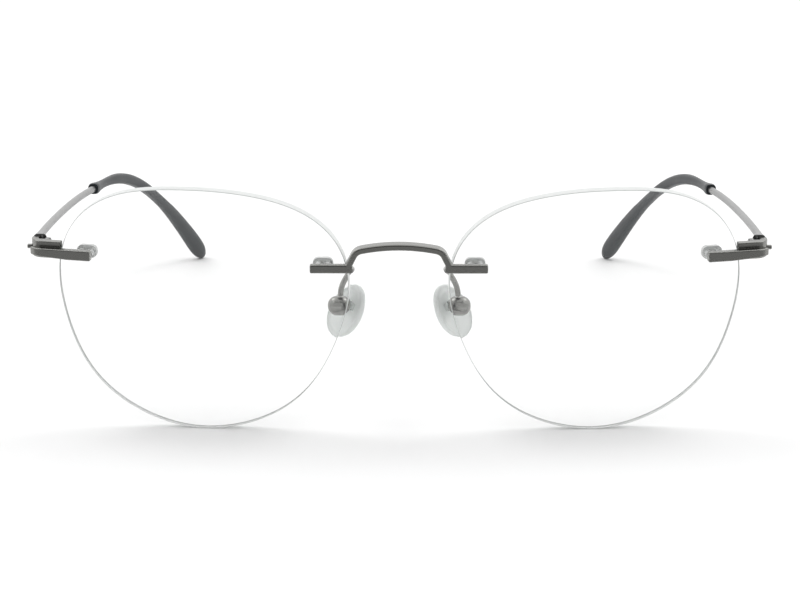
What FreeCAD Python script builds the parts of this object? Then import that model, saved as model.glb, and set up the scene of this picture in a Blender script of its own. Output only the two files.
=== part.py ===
import FreeCAD, Part
import math
import os

V = FreeCAD.Vector

# Rimless eyeglasses, open, standing on the lower lens edges and the temple tips.
# Front frame: X across the face, Y backwards from the lenses, Z up the lenses, origin midway
# between the two lens centres. The front frame leans forward at the top by frame_tilt.
# Everything is built for the wearer's left side (+X) and mirrored for the right.

# Lenses
lens_centre_x = 35.0
lens_mean_radius = 24.12
# how far the outline swells and sinks about that radius, once to six times round
lens_cosine_waves = [-0.07, 1.64, -0.22, -0.48, -0.07, -0.16]
lens_sine_waves = [1.04, 0.28, 1.3, -0.11, 0.12, -0.09]
lens_outline_steps = 48
lens_front_radius = 160.0
lens_thickness = 2.2
lens_bevel = 0.12
face_wrap = 4.5
frame_tilt = 4.95

# Posts, lens holes and the clear sleeves that grip them
post_spacing = 1.7
post_radius = 0.39
post_length = 2.75
sleeve_bore_radius = 0.40
sleeve_tube_radius = 0.64
lens_hole_radius = 0.65
sleeve_plate_length = 3.6
sleeve_plate_height = 2.3
sleeve_plate_thickness = 0.8
sleeve_plate_gap = 0.14

# Bridge
bridge_depth = 1.25
bridge_back_y = -0.2
bridge_edge_round = 0.3
arch_band = 1.1
arch_depth = 2.3
arch_top_z = 12.5
arch_radius = 33.0
arch_half_width = 6.6
shoulder_radius = 1.9
leg_angle = 64.0
nasal_bar_z = 8.55
nasal_bar_height = 1.55
nasal_bar_inner_x = 8.1
leg_lens_gap = 0.12
nasal_bar_tip_x = 15.6
nasal_mount_x = 13.4

# Temporal lens bar
temporal_mount_x = 55.55
temporal_bar_z = 9.85
bar_tip_reach = 1.45
bar_height = 1.8
bar_thickness = 1.3
bar_bend_lead = 0.5
bar_end_angle = 52.0
bar_end_taper = 0.3
bar_taper_length = 4.5
bar_gap = 0.08
bar_edge_round = 0.22

# Endpiece strap and hinge
hinge_x = 62.8
strap_thickness = 1.3
strap_height = 3.1
strap_mid_z = 10.25
strap_edge_round = 0.2
strap_inner_radius = 1.1
strap_inner_end_x = 59.8
strap_lens_gap = 0.08
barrel_radius = 1.05
knuckle_radius = 1.0
knuckle_height = 1.1
knuckle_gap = 0.05
hinge_screw_radius = 0.45
hinge_bore_radius = 0.50
screw_head_radius = 1.0
screw_head_height = 0.3
screw_head_sink = 0.18
screw_slot = 0.22
seam_behind_axis = 0.72
seam_gap = 0.06
rivet_radius = 0.42
rivet_height = 0.85
rivet_dome = 0.2

# Temple wire, from the seam to its end inside the plastic tip
wire_radius = 0.68
wire_end = 128.0
temple_start = V(64.18, 0, 12.1)
temple_slope = 4.0
temple_splay = 2.33
straight_bow = 0.0012
ear_bow_start = 50.0
ear_bow = 0.0020
drop_start = 86.9
drop_radius = 75.2
drop_turn = 47.4
base_half_width = 1.2
base_half_height = 1.5
base_length = 5.0
base_inset = 0.28
barrel_clearance = 0.1
leaf_half_width = 0.45
leaf_length = 3.0

# Plastic tip
tip_start = 72.3
# distance behind the tip's rim, half width, half height, squareness of the section
tip_sections = [(0.0, 1.03, 1.05, 3.0), (0.5, 1.1, 1.12, 3.0), (2.5, 1.03, 1.08, 2.8),
                (20.0, 1.03, 1.08, 2.6), (40.0, 1.03, 1.1, 2.6), (51.0, 1.06, 1.15, 2.6),
                (56.0, 1.15, 1.3, 2.5), (62.0, 1.32, 1.52, 2.4), (67.0, 1.48, 1.7, 2.3),
                (72.0, 1.6, 1.82, 2.3), (74.6, 1.57, 1.78, 2.2), (76.4, 1.28, 1.45, 2.1),
                (77.4, 0.85, 0.96, 2.0), (77.9, 0.4, 0.45, 2.0)]

# Nose pads and their arms
pad_arm_radius = 0.5
pad_arm_route = [V(8.45, -0.35, 8.0), V(8.25, 1.6, 7.7), V(8.6, 3.8, 6.8), V(9.75, 5.4, 4.6),
                 V(10.5, 6.3, 1.6)]
pad_box_centre = V(10.75, 6.75, -0.55)
pad_box_half_length = 2.05
pad_box_radius = 1.75
pad_box_end_round = 1.6
pad_centre = V(9.6, 10.5, -2.8)
pad_long_axis = V(5.0, 1.6, -10.8)
pad_frontal_angle = 37.0
pad_half_length = 5.8
pad_half_width = 3.8
pad_half_thickness = 1.15
tongue_thickness = 1.1
tongue_radius = 0.95
tongue_clearance = 0.06
pad_screw_radius = 0.35
pad_screw_head_radius = 0.55
pad_screw_bore = 0.40


def rotated_z(direction, degrees):
    """A direction turned about the vertical."""
    turn = FreeCAD.Rotation(V(0, 0, 1), degrees)
    return turn.multVec(direction)


def lens_sag(across, up):
    """Depth of the lens front behind its centre, before the face wrap."""
    return lens_front_radius - math.sqrt(lens_front_radius ** 2 - across ** 2 - up ** 2)


def lens_front_y(x, z):
    """Depth of the wrapped lens front at a place in the front frame."""
    wrap = math.radians(face_wrap)
    across = (x - lens_centre_x) / math.cos(wrap)
    return across * math.sin(wrap) + lens_sag(across, z) * math.cos(wrap)


def mirrored(shape):
    return shape.mirror(V(0, 0, 0), V(1, 0, 0))


def closed_spline(points):
    """A smooth closed wire through points."""
    curve = Part.BSplineCurve()
    curve.interpolate(points, PeriodicFlag=True)
    return Part.Wire([curve.toShape()])


def superellipse(centre, across, up, half_width, half_height, squareness):
    """A closed section: an ellipse at squareness 2, a rounded rectangle above it."""
    points = []
    for step in range(16):
        angle = 2 * math.pi * (step + 0.5) / 16
        cosine = math.cos(angle)
        sine = math.sin(angle)
        reach = (abs(cosine) ** squareness + abs(sine) ** squareness) ** (-1 / squareness)
        points.append(centre + across * (half_width * reach * cosine) + up * (half_height * reach * sine))
    return closed_spline(points)


def rounded(shape, edges, radius):
    """The shape with the chosen edges rounded."""
    return shape.makeFillet(radius, edges)


def placed_box(centre, axis_x, axis_y, axis_z, size):
    """A box of a given size about a centre, along three directions."""
    box = Part.makeBox(size[0], size[1], size[2], V(-size[0] / 2, -size[1] / 2, -size[2] / 2))
    box.Placement = FreeCAD.Placement(centre, FreeCAD.Rotation(axis_x, axis_y, axis_z, "XYZ"))
    return box


# ---- lens mounts: a place on the lens, the way along its bar and the way back through the lens

def temporal_mount():
    slope = math.degrees(math.asin((temporal_mount_x - lens_centre_x) / lens_front_radius)) + face_wrap
    along = rotated_z(V(1, 0, 0), slope)
    back = rotated_z(V(0, 1, 0), slope)
    place = V(temporal_mount_x, lens_front_y(temporal_mount_x, temporal_bar_z), temporal_bar_z)
    return place, along, back


def nasal_mount():
    place = V(nasal_mount_x, lens_front_y(nasal_mount_x, nasal_bar_z), nasal_bar_z)
    return place, V(1, 0, 0), V(0, 1, 0)


def post_places(mount):
    place, along, back = mount
    return [place - along * (post_spacing / 2), place + along * (post_spacing / 2)]


def posts(mount, start_depth):
    """The two prongs that pass through the lens."""
    back = mount[2]
    prongs = []
    for place in post_places(mount):
        start = place + back * start_depth
        prongs.append(Part.makeCylinder(post_radius, post_length - start_depth, start, back))
    return prongs


# ---- lenses

def lens_outline_radius(angle):
    """Distance from the lens centre to its edge; the angle runs from the temple side upwards."""
    radius = lens_mean_radius
    for count, (cosine_wave, sine_wave) in enumerate(zip(lens_cosine_waves, lens_sine_waves), 1):
        radius += cosine_wave * math.cos(count * angle) + sine_wave * math.sin(count * angle)
    return radius


def lens_blank(margin):
    """A straight-sided block with the lens outline, larger all round by a margin, before the wrap."""
    points = []
    for step in range(lens_outline_steps):
        angle = 2 * math.pi * step / lens_outline_steps
        reach = lens_outline_radius(angle) + margin
        points.append(V(reach * math.cos(angle), -5, reach * math.sin(angle)))
    return Part.Face(closed_spline(points)).extrude(V(0, 20, 0))


def wrapped(shape):
    """A lens-shaped block turned by the face wrap and moved to its place in the front frame."""
    shape.rotate(V(0, 0, 0), V(0, 0, 1), face_wrap)
    shape.translate(V(lens_centre_x, 0, 0))
    return shape


def lens():
    blank = lens_blank(0)
    centre = V(0, lens_front_radius, 0)
    front = Part.makeSphere(lens_front_radius, centre)
    back = Part.makeSphere(lens_front_radius - lens_thickness, centre)
    body = blank.common(front).cut(back)
    rims = [edge for edge in body.Edges if edge.Length > lens_mean_radius]
    body = wrapped(body.makeChamfer(lens_bevel, rims))
    for mount in (temporal_mount(), nasal_mount()):
        back_way = mount[2]
        for place in post_places(mount):
            body = body.cut(Part.makeCylinder(lens_hole_radius, 9, place - back_way * 3, back_way))
    return body


def sleeve(mount):
    """A clear double sleeve: a back plate with two tubes that line the lens holes."""
    place, along, back = mount
    up = V(0, 0, 1)
    near = lens_thickness + sleeve_plate_gap
    plate = placed_box(place + back * (near + sleeve_plate_thickness / 2), along, back, up,
                       (sleeve_plate_length, sleeve_plate_thickness, sleeve_plate_height))
    corners = [edge for edge in plate.Edges if abs(edge.tangentAt(edge.FirstParameter).dot(back)) > 0.9]
    plate = rounded(plate, corners, sleeve_plate_height / 2 - 0.15)
    for post in post_places(mount):
        plate = plate.fuse(Part.makeCylinder(sleeve_tube_radius, near - 0.1, post + back * 0.15, back))
    for post in post_places(mount):
        plate = plate.cut(Part.makeCylinder(sleeve_bore_radius, post_length + 0.03, post, back))
    return plate.removeSplitter()


# ---- bridge

def arch_end_place():
    """Where the bridge's shallow arch ends: the angle it spans from the middle, and the point."""
    angle = math.asin(arch_half_width / arch_radius)
    return angle, V(arch_half_width, 0, arch_top_z - arch_radius * (1 - math.cos(angle)))


def arc_edge(centre, radius, start, end):
    """An arc in the XZ plane about centre; angles in radians from +X towards +Z."""
    middle = (start + end) / 2
    places = [centre + V(radius * math.cos(a), 0, radius * math.sin(a)) for a in (start, middle, end)]
    return Part.Arc(places[0], places[1], places[2]).toShape()


def arch_side(offset):
    """Edges of one long side of the arched band, from its middle over the shoulder down the leg."""
    end_angle, arch_end = arch_end_place()
    leg = math.radians(leg_angle)
    arch_centre = V(0, 0, arch_top_z - arch_radius)
    right = math.pi / 2
    arch_way = V(math.sin(end_angle), 0, math.cos(end_angle))
    leg_side = V(math.sin(leg), 0, math.cos(leg))
    shoulder_centre = arch_end - arch_way * shoulder_radius
    leg_start = shoulder_centre + leg_side * shoulder_radius
    drop = leg_start.z - nasal_bar_z
    leg_end = leg_start + V(drop / math.tan(leg), 0, -drop)
    edges = [
        arc_edge(arch_centre, arch_radius + offset, right, right - end_angle),
        arc_edge(shoulder_centre, shoulder_radius + offset, right - end_angle, right - leg),
        Part.LineSegment(leg_start + leg_side * offset, leg_end + leg_side * offset).toShape(),
    ]
    return edges, leg_end + leg_side * offset


def arch():
    """The arched band over the nose, wider front to back than it is tall."""
    upper, upper_end = arch_side(arch_band / 2)
    lower, lower_end = arch_side(-arch_band / 2)
    foot = Part.LineSegment(upper_end, lower_end).toShape()
    middle = Part.LineSegment(lower[0].Vertexes[0].Point, upper[0].Vertexes[0].Point).toShape()
    outline = Part.Wire(Part.__sortEdges__(upper + [foot] + lower + [middle]))
    half = Part.Face(outline).extrude(V(0, arch_depth, 0))
    half.translate(V(0, bridge_back_y - bridge_depth, 0))
    whole = half.fuse(mirrored(half)).removeSplitter()
    return rounded(whole, whole.Edges, bridge_edge_round)


def nasal_bar():
    """The bar across the front of the lens at the foot of the arch, with its two posts."""
    length = nasal_bar_tip_x - nasal_bar_inner_x
    centre = V(nasal_bar_inner_x + length / 2, bridge_back_y - bridge_depth / 2, nasal_bar_z)
    size = (length, bridge_depth, nasal_bar_height)
    bar = placed_box(centre, V(1, 0, 0), V(0, 1, 0), V(0, 0, 1), size)
    bar = rounded(bar, bar.Edges, bridge_edge_round)
    mount = nasal_mount()
    depth = bridge_back_y - mount[0].y - 0.1
    return bar.fuse(posts(mount, depth))


def bridge():
    """The arch and both nasal bars as one piece, kept clear of the lens edges."""
    bar = nasal_bar()
    whole = arch()
    beside_lens = wrapped(lens_blank(leg_lens_gap)).common(Part.makeBox(20, 9, 40, V(0, bridge_back_y, -20)))
    for piece in (beside_lens, mirrored(beside_lens)):
        whole = whole.cut(piece)
    return whole.fuse([bar, mirrored(bar)]).removeSplitter()


# ---- temporal lens bar, endpiece strap and hinge

def bent_strip(start, along, back, length, turn, outer_radius, tail, thickness, height):
    """A flat strip on edge: straight along, bent back round a radius, then a straight tail."""
    turn_angle = math.radians(turn)
    inner_radius = outer_radius - thickness

    def at(a, b):
        return start + along * a + back * b

    def bend(radius, angle):
        return at(length + radius * math.sin(angle), outer_radius - radius * math.cos(angle))

    tail_way = along * math.cos(turn_angle) + back * math.sin(turn_angle)
    outer_start = at(length, 0)
    inner_start = at(length, thickness)
    outer_bend_end = bend(outer_radius, turn_angle)
    inner_bend_end = bend(inner_radius, turn_angle)
    outer_end = outer_bend_end + tail_way * tail
    inner_end = inner_bend_end + tail_way * tail
    edges = [
        Part.LineSegment(at(0, 0), outer_start).toShape(),
        Part.Arc(outer_start, bend(outer_radius, turn_angle / 2), outer_bend_end).toShape(),
        Part.LineSegment(outer_bend_end, outer_end).toShape(),
        Part.LineSegment(outer_end, inner_end).toShape(),
        Part.LineSegment(inner_end, inner_bend_end).toShape(),
        Part.Arc(inner_bend_end, bend(inner_radius, turn_angle / 2), inner_start).toShape(),
        Part.LineSegment(inner_start, at(0, thickness)).toShape(),
        Part.LineSegment(at(0, thickness), at(0, 0)).toShape(),
    ]
    strip = Part.Face(Part.Wire(edges)).extrude(V(0, 0, height))
    strip.translate(V(0, 0, -height / 2))
    return strip


def hinge_place():
    """The hinge axis where it crosses the strap's mid height, and where the strap starts to bend."""
    place, along, back = temporal_mount()
    depth = -bar_gap + strap_thickness + strap_inner_radius
    reach = (hinge_x - place.x - back.x * depth) / along.x
    axis = place + along * reach + back * depth
    return V(axis.x, axis.y, strap_mid_z), reach


def lens_bar():
    """The bar across the front of the lens, bent back at its outer end, with its two posts."""
    place, along, back = temporal_mount()
    reach = hinge_place()[1]
    outer_radius = strap_inner_radius + strap_thickness + bar_thickness
    slope = math.degrees(math.atan2(along.y, along.x))
    tip = place - along * bar_tip_reach
    start = tip - back * (bar_gap + bar_thickness)
    length = reach + bar_tip_reach - bar_bend_lead
    turn = bar_end_angle - slope
    bar = bent_strip(start, along, back, length, turn, outer_radius, 0.1, bar_thickness, bar_height)
    taper_start = start + along * (length - bar_taper_length) - back * 3 - V(0, 0, bar_height / 2)
    taper_far = taper_start + (along * bar_taper_length + V(0, 0, bar_end_taper)) * 2
    low = V(0, 0, -2)
    corners = [taper_start + low, taper_far + low, taper_far, taper_start, taper_start + low]
    wedge = Part.Face(Part.makePolygon(corners)).extrude(back * 9)
    bar = bar.cut(wedge)
    bar = rounded(bar, bar.Edges, bar_edge_round)
    for prong in posts(temporal_mount(), -bar_gap - 0.1):
        bar = bar.fuse(prong)
    return bar.removeSplitter()


def strap():
    """The endpiece: from the lens edge outwards and back round the hinge."""
    place, along, back = temporal_mount()
    reach = hinge_place()[1]
    front = place - back * bar_gap
    start_reach = (strap_inner_end_x - front.x) / along.x
    start = front + along * start_reach
    start = V(start.x, start.y, strap_mid_z)
    slope = math.degrees(math.atan2(along.y, along.x))
    outer = strap_inner_radius + strap_thickness
    strip = bent_strip(start, along, back, reach - start_reach, 90 - slope, outer, seam_behind_axis,
                       strap_thickness, strap_height)
    strip = rounded(strip, strip.Edges, strap_edge_round)
    return strip.cut(wrapped(lens_blank(strap_lens_gap)))


def tilted(shape):
    """A front-frame shape leaned forward at the top, as the glasses stand."""
    copy = shape.copy()
    copy.rotate(V(0, 0, 0), V(1, 0, 0), frame_tilt)
    return copy


def tilted_point(point):
    return FreeCAD.Rotation(V(1, 0, 0), frame_tilt).multVec(point)


def hinge_centre():
    """Middle of the hinge barrel, glasses standing; the hinge axis is upright."""
    return tilted_point(hinge_place()[0])


def knuckle(centre, low, high, radius):
    return Part.makeCylinder(radius, high - low, centre + V(0, 0, low))


def endpiece():
    """The strap with its top and bottom hinge knuckles, bored for the screw."""
    centre = hinge_centre()
    body = tilted(strap())
    behind_seam = Part.makeBox(8, 4, 8, centre + V(-4, seam_behind_axis, -4))
    body = body.cut(behind_seam)
    half = strap_height / 2
    inner = knuckle_height / 2 + knuckle_gap
    top = half - screw_head_sink - screw_head_height
    web_depth = strap_inner_radius + 0.4
    web_half_width = barrel_radius * 0.65
    for low, high in ((-half + 0.05, -inner), (inner, top)):
        ring = knuckle(centre, low, high, barrel_radius)
        web_corner = centre + V(-web_half_width, -web_depth, low)
        web = Part.makeBox(2 * web_half_width, web_depth, high - low, web_corner)
        body = body.fuse([ring, web])
    body = body.cut(knuckle(centre, -half - 1, half + 1, hinge_bore_radius - 0.03))
    body = body.cut(knuckle(centre, top, half + 1, screw_head_radius + 0.02))
    body = body.cut(knuckle(centre, -inner, inner, knuckle_radius + 0.08))
    return body.removeSplitter()


def hinge_screw():
    """Slotted screw down the hinge axis; its head lies just below the strap's top edge."""
    centre = hinge_centre()
    half = strap_height / 2
    head_top = half - screw_head_sink
    head_bottom = head_top - screw_head_height + 0.01
    shank = knuckle(centre, -half + 0.2, head_top - 0.1, hinge_screw_radius)
    head = knuckle(centre, head_bottom, head_top, screw_head_radius)
    head = rounded(head, [head.Edges[0]], 0.1)
    slot = Part.makeBox(3, screw_slot, 1, centre + V(-1.5, -screw_slot / 2, head_top - 0.15))
    slot.rotate(centre, V(0, 0, 1), 25)
    return shank.fuse(head).cut(slot).removeSplitter()


def hinge_rivet():
    """The small domed rivet head on the outside of the endpiece corner."""
    axis = hinge_place()[0]
    outer = axis + V(strap_inner_radius + strap_thickness, 0, -0.1)
    pin = Part.makeCylinder(rivet_radius, rivet_height, outer + V(0.01, 0, 0), V(1, 0, 0))
    pin = rounded(pin, [pin.Edges[0]], rivet_dome)
    return tilted(pin)


# ---- temple

def temple_line(length):
    """Point, direction and cross directions of the temple's centre line at a length from the seam."""
    centre = hinge_centre()
    point = V(temple_start.x, centre.y + seam_behind_axis + seam_gap, temple_start.z)
    step = 0.25
    travelled = 0.0
    while True:
        bow = straight_bow * travelled + ear_bow * max(0.0, travelled - ear_bow_start)
        side = math.radians(temple_splay) - bow
        turned = min(max(0.0, travelled - drop_start) / drop_radius, math.radians(drop_turn))
        drop = math.radians(temple_slope) + turned
        way = V(math.sin(side), math.cos(side) * math.cos(drop), -math.cos(side) * math.sin(drop))
        if travelled >= length:
            break
        advance = min(step, length - travelled)
        point = point + way * advance
        travelled += advance
    across = way.cross(V(0, 0, 1))
    across.normalize()
    up = across.cross(way)
    return point, way, across, up


def temple_section(length, half_width, half_height, squareness, lift=0.0, inset=0.0):
    """A section across the temple, moved up by a lift and towards the head by an inset."""
    point, way, across, up = temple_line(length)
    centre = point + up * lift - across * inset
    return superellipse(centre, across, up, half_width, half_height, squareness)


def wire_loft(start, end, radius, count):
    sections = []
    for step in range(count + 1):
        length = start + (end - start) * step / count
        sections.append(temple_section(length, radius, radius, 2))
    return Part.makeLoft(sections, True, False)


def temple_base():
    """The flared front end of the temple, tapering back to the round wire."""
    stations = ((0.0, 1.0, 1.0, 4.0), (0.16, 0.92, 0.93, 3.6), (0.5, 0.42, 0.5, 2.8), (0.75, 0.12, 0.16, 2.3),
                (1.0, 0.0, 0.0, 2.0))
    sections = []
    for at, wide, high, squareness in stations:
        half_width = wire_radius + (base_half_width - wire_radius) * wide
        half_height = wire_radius + (base_half_height - wire_radius) * high
        sections.append(temple_section(base_length * at, half_width, half_height, squareness,
                                       wire_radius - half_height, base_inset * wide))
    return Part.makeLoft(sections, True, False)


def temple():
    """The wire temple: flared base, hinge leaf and middle knuckle."""
    centre = hinge_centre()
    half = knuckle_height / 2
    gap = half + knuckle_gap
    barrel_space = barrel_radius + barrel_clearance
    base = temple_base()
    ahead_of_seam = Part.makeBox(8, 4, 8, centre + V(-4, seam_behind_axis + seam_gap - 4, -4))
    base = base.cut(ahead_of_seam)
    for low, high in ((-4, -half), (half, 4)):
        base = base.cut(knuckle(centre, low, high, barrel_space))
    wire = wire_loft(base_length, wire_end, wire_radius, 14)
    ring = knuckle(centre, -half, half, knuckle_radius)
    inner_x = centre.x - leaf_half_width
    leaf_corner = V(inner_x, centre.y, centre.z - half)
    leaf = Part.makeBox(2 * leaf_half_width, leaf_length, knuckle_height, leaf_corner)
    tie_start = centre.y + seam_behind_axis + seam_gap
    tie_length = leaf_length - seam_behind_axis - seam_gap
    tie = Part.makeBox(temple_start.x + 0.1 - inner_x, tie_length, knuckle_height,
                       V(inner_x, tie_start, centre.z - half))
    body = wire.fuse([base, ring, leaf, tie])
    body = body.cut(knuckle(centre, -gap, gap, hinge_bore_radius))
    return body.removeSplitter()


def temple_tip():
    """The plastic tip over the wire: a rim, a slim neck and a paddle that drops behind the ear."""
    sections = []
    for behind, half_width, half_height, squareness in tip_sections:
        sections.append(temple_section(tip_start + behind, half_width, half_height, squareness))
    return Part.makeLoft(sections, True, False)


# ---- nose pads

def pad_axes():
    """Long axis down the pad, its face normal towards the nose, and its width."""
    long_way = V(pad_long_axis)
    long_way.normalize()
    angle = math.radians(pad_frontal_angle)
    normal = V(-math.cos(angle), math.sin(angle), 0)
    normal = normal - long_way * normal.dot(long_way)
    normal.normalize()
    width = long_way.cross(normal)
    return long_way, normal, width


def pad_leaf():
    """The clear pad: an oval cushion, fuller towards its lower end."""
    long_way, normal, width = pad_axes()
    sections = []
    count = 10
    for step in range(count + 1):
        angle = math.radians(-78 + 156 * step / count)
        along = pad_half_length * math.sin(angle)
        fullness = math.cos(angle) ** 0.85 * (1 + 0.06 * math.sin(angle))
        thickness = pad_half_thickness * math.cos(angle) ** 0.6
        centre = pad_centre + long_way * along + normal * (0.25 * math.cos(angle))
        sections.append(superellipse(centre, width, normal, pad_half_width * fullness, thickness, 2.2))
    return Part.makeLoft(sections, True, False)


def pivot_place():
    """Centre of the pad's rocking screw, inside the box."""
    return pad_box_centre + V(-0.25, 0.25, -0.35)


def pad_mount_piece():
    """The insert: an eye on the rocking screw, a neck and a plate buried in the pad."""
    long_way, normal, width = pad_axes()
    pivot = pivot_place()
    half = tongue_thickness / 2
    eye = Part.makeCylinder(tongue_radius, tongue_thickness, pivot - width * half, width)
    reach = (pad_centre - pivot).dot(normal)
    neck = placed_box(pivot + normal * (reach / 2), long_way, normal, width, (1.3, reach, tongue_thickness))
    plate = placed_box(pivot + normal * reach, long_way, normal, width, (4.2, 0.7, 2.6))
    plate = rounded(plate, plate.Edges, 0.2)
    body = eye.fuse([neck, plate])
    bore = Part.makeCylinder(pad_screw_bore, 4, pivot - width * 2, width)
    return body.cut(bore).removeSplitter()


def pad_box():
    """The rounded metal box on the pad arm, slotted for the insert and bored for its screw."""
    long_way, normal, width = pad_axes()
    end = pad_box_centre - V(pad_box_half_length, 0, 0)
    body = Part.makeCylinder(pad_box_radius, 2 * pad_box_half_length, end, V(1, 0, 0))
    body = rounded(body, [body.Edges[0], body.Edges[2]], pad_box_end_round)
    pivot = pivot_place()
    slot_half = tongue_thickness / 2 + tongue_clearance
    slot = placed_box(pivot + normal * 1.35, long_way, normal, width, (3.4, 4.9, slot_half * 2))
    body = body.cut(slot)
    body = body.cut(Part.makeCylinder(pad_screw_radius + 0.01, 8, pivot - width * 4, width))
    head_seat = pivot - width * 1.15
    body = body.cut(Part.makeCylinder(pad_screw_head_radius + 0.02, 4, head_seat, width * -1))
    return body


def pad_screw():
    """The rocking screw, its head facing forwards."""
    long_way, normal, width = pad_axes()
    pivot = pivot_place()
    head_seat = pivot - width * 1.17
    head = Part.makeCylinder(pad_screw_head_radius, 0.5, head_seat, width * -1)
    shank = Part.makeCylinder(pad_screw_radius, 2.35, head_seat, width)
    slot = placed_box(head_seat - width * 0.5, long_way, normal, width, (3, 0.16, 0.3))
    return head.fuse(shank).cut(slot).removeSplitter()


def pad_arm():
    """The bent wire from the back of the bridge to the pad box."""
    curve = Part.BSplineCurve()
    curve.interpolate(pad_arm_route)
    spine = Part.Wire([curve.toShape()])
    start_way = curve.tangent(curve.FirstParameter)[0]
    profile = Part.Wire([Part.makeCircle(pad_arm_radius, pad_arm_route[0], start_way)])
    return spine.makePipeShell([profile], True, False)


# ---- assembly

def side_pieces():
    """Every piece of the left side, standing but not yet moved to the table."""
    box = pad_box()
    arm = pad_arm()
    the_bridge = bridge()
    insert = pad_mount_piece()
    bar = lens_bar()
    front_pieces = {
        "lens": lens(),
        "sleeve_temporal": sleeve(temporal_mount()),
        "sleeve_nasal": sleeve(nasal_mount()),
        "lens_bar": bar,
        "pad_arm": arm.cut(box).cut(the_bridge),
        "pad_box": box,
        "pad_screw": pad_screw(),
        "pad_insert": insert,
        "nose_pad": pad_leaf().cut(insert),
    }
    pieces = {name: tilted(shape) for name, shape in front_pieces.items()}
    pieces["endpiece"] = endpiece().cut(pieces["lens_bar"])
    pieces["hinge_screw"] = hinge_screw()
    pieces["hinge_rivet"] = hinge_rivet()
    pieces["temple"] = temple()
    pieces["temple_tip"] = temple_tip().cut(pieces["temple"])
    return pieces, tilted(the_bridge)


def whole_piece(shape):
    """A cut result as its one solid."""
    solids = sorted(shape.Solids, key=lambda solid: solid.Volume)
    return solids[-1]


def main():
    os.makedirs("parts", exist_ok=True)
    side, the_bridge = side_pieces()
    model = {"bridge": the_bridge}
    for name, shape in side.items():
        piece = whole_piece(shape)
        model[name + "_left"] = piece
        model[name + "_right"] = mirrored(piece)
    box = Part.makeCompound(list(model.values())).BoundBox
    shift = V(0, -(box.YMin + box.YMax) / 2, -box.ZMin)
    for name, shape in model.items():
        shape.translate(shift)
        shape.exportStep("parts/" + name + ".step")
    hinge = hinge_centre() + shift
    pivot = tilted_point(pivot_place()) + shift
    width = tilted_point(pad_axes()[2])
    print("overall", box.XLength, box.YLength, box.ZLength)
    print("hinge axis through", tuple(hinge))
    print("pad pivot", tuple(pivot), "axis", tuple(width))
    return model


main()
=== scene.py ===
import math

import bmesh
import bpy
import numpy as np
from mathutils import Matrix, Vector


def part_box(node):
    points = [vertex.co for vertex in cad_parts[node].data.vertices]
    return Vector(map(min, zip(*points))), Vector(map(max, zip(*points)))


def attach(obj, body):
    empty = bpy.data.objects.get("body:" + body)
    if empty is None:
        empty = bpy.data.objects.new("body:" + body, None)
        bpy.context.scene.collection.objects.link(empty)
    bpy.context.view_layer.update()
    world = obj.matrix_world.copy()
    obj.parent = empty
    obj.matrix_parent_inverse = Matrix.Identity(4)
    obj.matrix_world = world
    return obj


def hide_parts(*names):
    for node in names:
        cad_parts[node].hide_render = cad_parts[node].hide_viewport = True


# Rimless eyeglasses standing open on a pale table. Metres; +X the wearer's left, +Y back along
# the temples, +Z up. Metal and clear hard parts keep their CAD shape and get a finish here.

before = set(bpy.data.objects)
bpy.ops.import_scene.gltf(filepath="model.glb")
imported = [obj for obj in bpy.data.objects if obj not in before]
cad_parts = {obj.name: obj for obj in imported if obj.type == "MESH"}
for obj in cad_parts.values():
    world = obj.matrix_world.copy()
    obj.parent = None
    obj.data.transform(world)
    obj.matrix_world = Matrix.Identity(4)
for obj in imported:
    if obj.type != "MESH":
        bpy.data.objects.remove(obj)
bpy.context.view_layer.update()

SIDES = ("left", "right")
MM = 0.001

# Camera: how far it stands from the middle of the front and at what angles in degrees, then its
# sensor and focal length in millimetres. FRONT_DEPTH is how far the front's middle lies behind the
# foremost point of the lenses.
CAMERA_DISTANCE = 0.450
CAMERA_ELEVATION = 13.62
CAMERA_HEADING = 0.42
CAMERA_SENSOR = 36
CAMERA_FOCAL = 114.95
CAMERA_SHIFT = (0.00125, 0.0158)
CAMERA_CLIP = (0.01, 50)
FRONT_DEPTH = 1.25 * MM

# How far the lenses are turned and tilted, in degrees, which tells their faces from their edges.
FACE_WRAP = 4.5
FRAME_TILT = 4.95

GUNMETAL = (0.250, 0.250, 0.238)
TEMPLE_METAL = (0.235, 0.236, 0.234)
SCREW_METAL = (0.240, 0.240, 0.236)

# Plating: how far its tone and roughness stray, and how strong and deep its grain is.
PLATING_TONES = (0.97, 1.03)
PLATING_ROUGHNESS = (-0.02, 0.03)
GRAIN_STRENGTH = 0.012
GRAIN_DEPTH = 0.004 * MM

# Lens tones: polished faces, the ground edge and its chamfers, and how clear the ground parts stay.
# The chamfers' dark tone is painted shade, standing in for the dark lines that refraction draws
# beside the lens edge.
FACE_TONE = (0.997, 0.999, 0.998)
EDGE_TONE = (0.76, 0.78, 0.77)
# Painted shade: the chamfer tone is darkened to stand in for the dark lines that refraction draws
# along the lens edge.
CHAMFER_PAINTED_SHADE = (0.42, 0.44, 0.43)
EDGE_CLEAR = 0.35
LENS_IOR = 1.5

# Smudges on the faces and grinding marks on the edge: features per metre, and the roughness that
# they run between.
SMUDGE_SCALE = 130
FACE_ROUGHNESS = (0.0, 0.015)
GRIND_SCALE = 9000
EDGE_ROUGHNESS = (0.36, 0.5)

# A surface that faces the lens's way is polished, one square to it is the edge, and what lies
# between is chamfer. Each pair is the cosine range over which one look turns into the next.
FACE_STARTS = (0.85, 0.95)
CHAMFER_STARTS = (0.3, 0.55)

# Clear plastics: how much haze darkens the tone and multiplies the roughness, and the depth of the
# fine relief on moulded pieces.
HAZE_TONE = 0.97
HAZE_ROUGHENS = 1.6
MOULDED_DEPTH = 0.01 * MM
SLEEVE_TONE = (0.84, 0.85, 0.84)
INSERT_TONE = (0.88, 0.90, 0.89)
SILICONE_TONE = (0.90, 0.925, 0.91)

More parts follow.
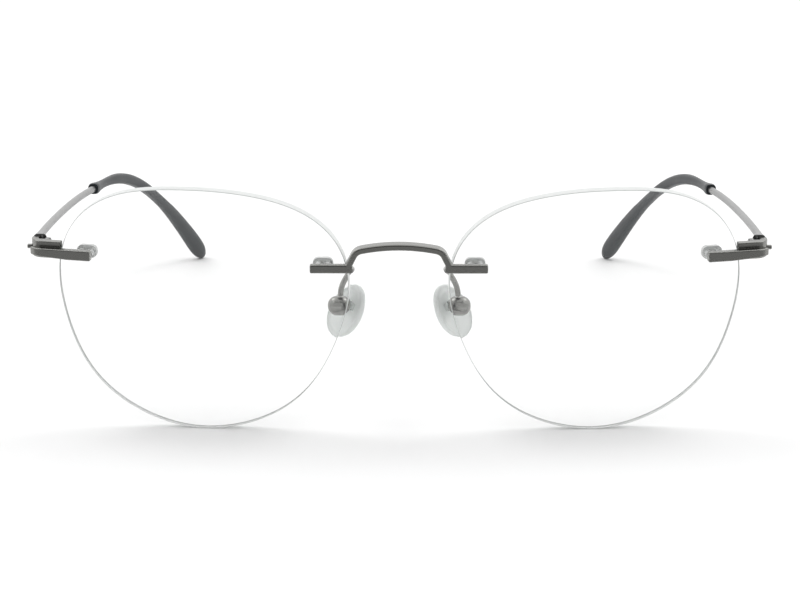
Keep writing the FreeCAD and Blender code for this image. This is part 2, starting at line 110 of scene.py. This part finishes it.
TIP_TONE = (0.024, 0.028, 0.031)
TIP_STREAK_TONES = (0.92, 1.08)
TIP_ROUGHNESS = (0.32, 0.38)
TIP_IOR = 1.5
TIP_SHINE = 0.12

# World: its strength in front of the glasses and behind them, and the part of Y, from -1 in front
# to 1 behind, over which one turns into the other.
WORLD_STRENGTH = (0.75, 1.2)
WORLD_TURN = (-0.9, 0.4)

# Stage: a nearly white table, two soft lights, and two dark flags seen only in reflections.
FLOOR_SIZE = 12
FLOOR_TONES = ((0.90, 0.90, 0.90), (0.91, 0.91, 0.91))
LIGHT_SIDE = 0.55
LIGHT_BACK = 0.25
LIGHT_HEIGHT = 0.9
LIGHT_SIZE = 0.5
LIGHT_POWER = 1.4
LIGHT_AIM = Vector((0, 0, 0.02))
FLAG_REACH = 0.9
LOW_FLAG_BACK = -0.085
LOW_FLAG_LIFT = 0.0005
LOW_FLAG_TONE = 0.45
TALL_FLAG_TONE = 0.04


# ---- node helpers

def new_material(name):
    """A new node material, with its node tree and its Principled shader."""
    made = bpy.data.materials.new(name)
    made.use_nodes = True
    tree = made.node_tree
    shader = tree.nodes["Principled BSDF"]
    return made, tree, shader


def place_texture(tree, scale, fineness=(1, 1, 1), detail=3.0):
    """Noise fixed to the object: scale times fineness is its features per metre along each axis."""
    where = tree.nodes.new("ShaderNodeTexCoord")
    mapping = tree.nodes.new("ShaderNodeMapping")
    mapping.inputs["Scale"].default_value = fineness
    noise = tree.nodes.new("ShaderNodeTexNoise")
    noise.inputs["Scale"].default_value = scale
    noise.inputs["Detail"].default_value = detail
    tree.links.new(where.outputs["Object"], mapping.inputs["Vector"])
    tree.links.new(mapping.outputs["Vector"], noise.inputs["Vector"])
    return noise


def between(tree, factor, low, high, from_low=0.3, from_high=0.7):
    """A value that runs from low to high as factor crosses a range."""
    ranged = tree.nodes.new("ShaderNodeMapRange")
    ranged.inputs["From Min"].default_value = from_low
    ranged.inputs["From Max"].default_value = from_high
    ranged.inputs["To Min"].default_value = low
    ranged.inputs["To Max"].default_value = high
    tree.links.new(factor, ranged.inputs["Value"])
    return ranged.outputs["Result"]


def blend_colours(tree, factor, first, second):
    """A colour mixed from two by factor."""
    mix = tree.nodes.new("ShaderNodeMix")
    mix.data_type = "RGBA"
    tree.links.new(factor, mix.inputs["Factor"])
    for socket, colour in (("A", first), ("B", second)):
        target = [s for s in mix.inputs if s.name == socket and s.type == "RGBA"][0]
        if isinstance(colour, bpy.types.NodeSocket):
            tree.links.new(colour, target)
        else:
            target.default_value = (*colour, 1)
    return [s for s in mix.outputs if s.type == "RGBA"][0]


def raise_surface(tree, shader, height, strength, distance):
    """Fine relief in the shader's normal, from a height."""
    bump = tree.nodes.new("ShaderNodeBump")
    bump.inputs["Strength"].default_value = strength
    bump.inputs["Distance"].default_value = distance
    tree.links.new(height, bump.inputs["Height"])
    tree.links.new(bump.outputs["Normal"], shader.inputs["Normal"])


def toned(colour, amount):
    """A colour made lighter or darker by a factor."""
    return tuple(channel * amount for channel in colour)


# ---- materials

def plated_metal(name, colour, fineness, roughness):
    """Satin plating: fine brushed grain along the piece and a faintly uneven tone."""
    made, tree, shader = new_material(name)
    clouds = place_texture(tree, scale=180, detail=2)
    grain = place_texture(tree, 1, fineness, detail=2)
    cloudy = between(tree, clouds.outputs["Fac"], 0, 1)
    dark, light = (toned(colour, amount) for amount in PLATING_TONES)
    tree.links.new(blend_colours(tree, cloudy, dark, light), shader.inputs["Base Color"])
    shader.inputs["Metallic"].default_value = 1.0
    smooth, coarse = (roughness + change for change in PLATING_ROUGHNESS)
    rough = between(tree, grain.outputs["Fac"], smooth, coarse)
    tree.links.new(rough, shader.inputs["Roughness"])
    raise_surface(tree, shader, grain.outputs["Fac"], GRAIN_STRENGTH, GRAIN_DEPTH)
    return made


def lens_axis(side):
    """The direction that a lens faces."""
    way = Vector((0, -1, 0))
    turn = math.radians(FACE_WRAP if side == "left" else -FACE_WRAP)
    wrap = Matrix.Rotation(turn, 3, "Z")
    tilt = Matrix.Rotation(math.radians(FRAME_TILT), 3, "X")
    return tilt @ wrap @ way


def lens_glass(side):
    """Clear lens: polished faces, a pale ground edge and a darker chamfer on each side of it; the
    chamfer's dark tone is painted shade for the dark lines that refraction draws beside the edge.
    """
    made, tree, shader = new_material("lens_" + side)
    geometry = tree.nodes.new("ShaderNodeNewGeometry")
    dot = tree.nodes.new("ShaderNodeVectorMath")
    dot.operation = "DOT_PRODUCT"
    dot.inputs[1].default_value = lens_axis(side)
    tree.links.new(geometry.outputs["True Normal"], dot.inputs[0])
    away = tree.nodes.new("ShaderNodeMath")
    away.operation = "ABSOLUTE"
    tree.links.new(dot.outputs["Value"], away.inputs[0])
    ground = between(tree, away.outputs["Value"], 1, 0, *FACE_STARTS)
    straight = between(tree, away.outputs["Value"], 1, 0, *CHAMFER_STARTS)
    smudge = place_texture(tree, SMUDGE_SCALE, detail=5)
    face_rough = between(tree, smudge.outputs["Fac"], *FACE_ROUGHNESS, from_low=0.5, from_high=0.8)
    grind = place_texture(tree, GRIND_SCALE, detail=2)
    edge_rough = between(tree, grind.outputs["Fac"], *EDGE_ROUGHNESS)
    rough = tree.nodes.new("ShaderNodeMix")
    tree.links.new(ground, rough.inputs["Factor"])
    tree.links.new(face_rough, rough.inputs["A"])
    tree.links.new(edge_rough, rough.inputs["B"])
    tree.links.new(rough.outputs["Result"], shader.inputs["Roughness"])
    # The darker chamfer colour mixed in here is painted shade for the refraction lines beside the
    # ground edge.
    edge_tone_and_chamfer_shade = blend_colours(tree, straight, CHAMFER_PAINTED_SHADE, EDGE_TONE)
    tone = blend_colours(tree, ground, FACE_TONE, edge_tone_and_chamfer_shade)
    tree.links.new(tone, shader.inputs["Base Color"])
    clear = between(tree, ground, 1.0, EDGE_CLEAR, 0, 1)
    tree.links.new(clear, shader.inputs["Transmission Weight"])
    shader.inputs["IOR"].default_value = LENS_IOR
    return made


def clear_plastic(name, colour, roughness, ior, clear):
    """Clear or milky moulded plastic with a slightly uneven surface."""
    made, tree, shader = new_material(name)
    ripple = place_texture(tree, scale=900, detail=2)
    haze = place_texture(tree, scale=400, detail=4)
    hazy = between(tree, haze.outputs["Fac"], 0, 1)
    tone = blend_colours(tree, hazy, toned(colour, HAZE_TONE), colour)
    tree.links.new(tone, shader.inputs["Base Color"])
    rough = between(tree, haze.outputs["Fac"], roughness, roughness * HAZE_ROUGHENS)
    tree.links.new(rough, shader.inputs["Roughness"])
    shader.inputs["Transmission Weight"].default_value = clear
    shader.inputs["IOR"].default_value = ior
    raise_surface(tree, shader, ripple.outputs["Fac"], strength=0.02, distance=MOULDED_DEPTH)
    return made


def tip_plastic():
    """Dark slate moulded plastic with faint streaks along it and a satin gloss."""
    made, tree, shader = new_material("tip_plastic")
    streaks = place_texture(tree, 1, (700, 60, 120), detail=4)
    specks = place_texture(tree, scale=5000, detail=2)
    streaky = between(tree, streaks.outputs["Fac"], 0, 1)
    dark, light = (toned(TIP_TONE, amount) for amount in TIP_STREAK_TONES)
    tree.links.new(blend_colours(tree, streaky, dark, light), shader.inputs["Base Color"])
    rough = between(tree, streaks.outputs["Fac"], *TIP_ROUGHNESS)
    tree.links.new(rough, shader.inputs["Roughness"])
    shader.inputs["IOR"].default_value = TIP_IOR
    shader.inputs["Specular IOR Level"].default_value = TIP_SHINE
    raise_surface(tree, shader, specks.outputs["Fac"], strength=0.03, distance=MOULDED_DEPTH)
    return made


def paint(node, material):
    """A finish for a CAD node, in its own material slots."""
    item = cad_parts[node]
    for place in item.material_slots:
        place.material = material


def paint_cad_pieces():
    """A finish on every CAD piece that keeps its CAD shape."""
    front_metal = plated_metal("gunmetal", GUNMETAL, (400, 7000, 7000), roughness=0.26)
    arm_metal = plated_metal("gunmetal_arm", GUNMETAL, (2500, 2500, 900), roughness=0.14)
    temple_metal = plated_metal("temple_wire", TEMPLE_METAL, (9000, 400, 9000), roughness=0.3)
    screw_metal = plated_metal("screw_steel", SCREW_METAL, (4000, 4000, 4000), roughness=0.18)
    sleeve_plastic = clear_plastic(
        "clear_sleeve", SLEEVE_TONE, roughness=0.15, ior=1.46, clear=0.3)
    insert_plastic = clear_plastic(
        "clear_insert", INSERT_TONE, roughness=0.12, ior=1.42, clear=0.9)
    plastic = tip_plastic()
    paint("bridge", front_metal)
    for side in SIDES:
        for piece in ("lens_bar", "endpiece", "hinge_rivet"):
            paint(f"{piece}_{side}", front_metal)
        for piece in ("pad_arm", "pad_box"):
            paint(f"{piece}_{side}", arm_metal)
        for piece in ("hinge_screw", "pad_screw"):
            paint(f"{piece}_{side}", screw_metal)
        for piece in ("sleeve_temporal", "sleeve_nasal"):
            paint(f"{piece}_{side}", sleeve_plastic)
        paint(f"pad_insert_{side}", insert_plastic)
        paint(f"temple_{side}", temple_metal)
        paint(f"temple_tip_{side}", plastic)
        paint(f"lens_{side}", lens_glass(side))


# ---- nose pads

# Rings of a pad, from its back to its crown: share of the outline, and height in half thicknesses.
PAD_RINGS = (
    (0.35, -0.60), (0.70, -0.60), (0.80, -0.62), (0.86, -0.78), (0.95, -0.80),
    (1.00, -0.45), (1.00, 0.10), (0.94, 0.52), (0.80, 0.78), (0.55, 0.93), (0.28, 0.99))
PAD_OUTLINE_STEPS = 40
PAD_SUBDIVISION = 2

# A pad's size as a share of its CAD solid, how much fuller its lower end is, and how far its ends
# bend away from the nose, in half thicknesses.
PAD_SHARE = 0.97
PAD_FULLNESS = 0.10
PAD_BOW = 0.10


def pad_directions(node):
    """A pad's middle, its ways (across, down along it, towards the nose) and its half sizes."""
    corners = np.array([v.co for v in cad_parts[node].data.vertices])
    middle = corners.mean(axis=0)
    ways = np.linalg.svd(corners - middle, full_matrices=False)[2]
    along = Vector(ways[0])
    if along.z > 0:
        along = -along
    toward = Vector(ways[2])
    if toward.y < 0:
        toward = -toward
    across = along.cross(toward)
    basis = np.array([across, along, toward])
    local = (corners - middle) @ basis.T
    low = local.min(axis=0)
    high = local.max(axis=0)
    middle = Vector(middle + ((low + high) / 2) @ basis)
    return middle, (across, along, toward), Vector((high - low) / 2)


def pad_outline(angle, half):
    """The pad's edge: an oval, fuller towards its lower end."""
    across = math.cos(angle) * (1 + PAD_FULLNESS * math.sin(angle))
    along = math.sin(angle)
    return across * half.x * PAD_SHARE, along * half.y * PAD_SHARE


def nose_pad(side):
    """A moulded pad: stacked rings of its outline, closed by a fan at the back and the crown."""
    node = "nose_pad_" + side
    middle, ways, half = pad_directions(node)
    mesh = bmesh.new()

    def corner(across, along, height):
        return mesh.verts.new(middle + ways[0] * across + ways[1] * along + ways[2] * height)

    rings = []
    for share, height in PAD_RINGS:
        ring = []
        for step in range(PAD_OUTLINE_STEPS):
            across, along = pad_outline(2 * math.pi * step / PAD_OUTLINE_STEPS, half)
            bow = PAD_BOW * half.z * (along / half.y) ** 2
            ring.append(corner(across * share, along * share, height * half.z * PAD_SHARE - bow))
        rings.append(ring)
    for first, second in zip(rings, rings[1:]):
        for step in range(PAD_OUTLINE_STEPS):
            after = (step + 1) % PAD_OUTLINE_STEPS
            mesh.faces.new((first[step], first[after], second[after], second[step]))
    for ring, height in ((rings[0], PAD_RINGS[0][1]), (rings[-1], 1.0)):
        centre = corner(0, 0, height * half.z * PAD_SHARE)
        for step in range(PAD_OUTLINE_STEPS):
            mesh.faces.new((ring[step], ring[(step + 1) % PAD_OUTLINE_STEPS], centre))
    bmesh.ops.recalc_face_normals(mesh, faces=mesh.faces)
    data = bpy.data.meshes.new("moulded_pad_" + side)
    mesh.to_mesh(data)
    mesh.free()
    for face in data.polygons:
        face.use_smooth = True
    piece = bpy.data.objects.new("moulded_pad_" + side, data)
    bpy.context.scene.collection.objects.link(piece)
    smooth = piece.modifiers.new("smooth", "SUBSURF")
    smooth.levels = PAD_SUBDIVISION
    smooth.render_levels = PAD_SUBDIVISION
    return piece


def make_nose_pads():
    """Moulded silicone pads that ride and stand for the CAD ones."""
    silicone = clear_plastic(
        "pad_silicone", SILICONE_TONE, roughness=0.3, ior=1.41, clear=0.45)
    for side in SIDES:
        piece = nose_pad(side)
        piece.data.materials.append(silicone)
        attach(piece, side + "_pad")
        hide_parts("nose_pad_" + side)


# ---- stage

def front_middle():
    """The middle of the glasses' front, halfway up the lenses."""
    low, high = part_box("lens_left")
    return Vector((0, low.y + FRONT_DEPTH, (low.z + high.z) / 2))


def make_camera():
    """The camera at the photo's angle, looking at the front's middle."""
    data = bpy.data.cameras.new("camera")
    data.sensor_width = CAMERA_SENSOR
    data.lens = CAMERA_FOCAL
    data.shift_x, data.shift_y = CAMERA_SHIFT
    data.clip_start, data.clip_end = CAMERA_CLIP
    camera = bpy.data.objects.new("camera", data)
    bpy.context.scene.collection.objects.link(camera)
    elevation = math.radians(CAMERA_ELEVATION)
    heading = math.radians(CAMERA_HEADING)
    level = math.cos(elevation)
    look = Vector((-math.sin(heading) * level, math.cos(heading) * level, -math.sin(elevation)))
    camera.location = front_middle() - look * CAMERA_DISTANCE
    camera.rotation_mode = "QUATERNION"
    camera.rotation_quaternion = look.to_track_quat("-Z", "Y")
    bpy.context.scene.camera = camera


def make_floor():
    """The pale table, wide enough to fill every view."""
    bpy.ops.mesh.primitive_plane_add(size=FLOOR_SIZE, location=(0, 0, 0))
    floor = bpy.context.object
    floor.name = "floor"
    made, tree, shader = new_material("pale_table")
    mottle = place_texture(tree, scale=3, detail=3)
    mottled = between(tree, mottle.outputs["Fac"], 0, 1)
    tone = blend_colours(tree, mottled, *FLOOR_TONES)
    tree.links.new(tone, shader.inputs["Base Color"])
    shader.inputs["Roughness"].default_value = 0.9
    shader.inputs["Specular IOR Level"].default_value = 0.1
    floor.data.materials.append(made)


def softbox(name, place):
    """A square soft light aimed at the glasses."""
    data = bpy.data.lights.new(name, "AREA")
    data.size = LIGHT_SIZE
    data.energy = LIGHT_POWER
    lamp = bpy.data.objects.new(name, data)
    bpy.context.scene.collection.objects.link(lamp)
    lamp.location = place
    lamp.rotation_mode = "QUATERNION"
    lamp.rotation_quaternion = (LIGHT_AIM - Vector(place)).to_track_quat("-Z", "Y")


def flat_card(name, across, back, up, tone):
    """A studio flag of one tone, lying flat or upright across X, seen only in reflections.

    across, back and up are its first and last X, Y and Z.
    """
    data = bpy.data.meshes.new(name)
    (left, right), (near, far), (low, high) = across, back, up
    corners = [(left, near, low), (right, near, low), (right, far, high), (left, far, high)]
    data.from_pydata(corners, [], [(0, 1, 2, 3)])
    card = bpy.data.objects.new(name, data)
    bpy.context.scene.collection.objects.link(card)
    made = bpy.data.materials.new(name)
    made.use_nodes = True
    tree = made.node_tree
    tree.nodes.clear()
    glow = tree.nodes.new("ShaderNodeEmission")
    glow.inputs["Color"].default_value = (tone, tone, tone, 1)
    output = tree.nodes.new("ShaderNodeOutputMaterial")
    tree.links.new(glow.outputs["Emission"], output.inputs["Surface"])
    data.materials.append(made)
    card.visible_camera = False
    card.visible_diffuse = False
    card.visible_transmission = False
    card.visible_shadow = False


def make_world():
    """A white studio, dimmer in front of the glasses than behind them."""
    world = bpy.data.worlds.new("studio")
    world.use_nodes = True
    tree = world.node_tree
    background = tree.nodes["Background"]
    where = tree.nodes.new("ShaderNodeTexCoord")
    parts = tree.nodes.new("ShaderNodeSeparateXYZ")
    tree.links.new(where.outputs["Generated"], parts.inputs["Vector"])
    background.inputs["Color"].default_value = (1, 1, 1, 1)
    tone = between(tree, parts.outputs["Y"], *WORLD_STRENGTH, *WORLD_TURN)
    tree.links.new(tone, background.inputs["Strength"])
    bpy.context.scene.world = world


def make_stage():
    """Floor, world, lights and flags."""
    make_floor()
    make_world()
    softbox("softbox_left", (-LIGHT_SIDE, LIGHT_BACK, LIGHT_HEIGHT))
    softbox("softbox_right", (LIGHT_SIDE, LIGHT_BACK, LIGHT_HEIGHT))
    width = (-FLAG_REACH, FLAG_REACH)
    lying = (LOW_FLAG_LIFT, LOW_FLAG_LIFT)
    flat_card("flag_low", width, (-FLAG_REACH, LOW_FLAG_BACK), lying, LOW_FLAG_TONE)
    flat_card("flag_tall", width, (-FLAG_REACH, -FLAG_REACH), (0, FLAG_REACH), TALL_FLAG_TONE)
    bpy.context.scene.view_settings.view_transform = "Standard"


make_camera()
paint_cad_pieces()
make_nose_pads()
make_stage()
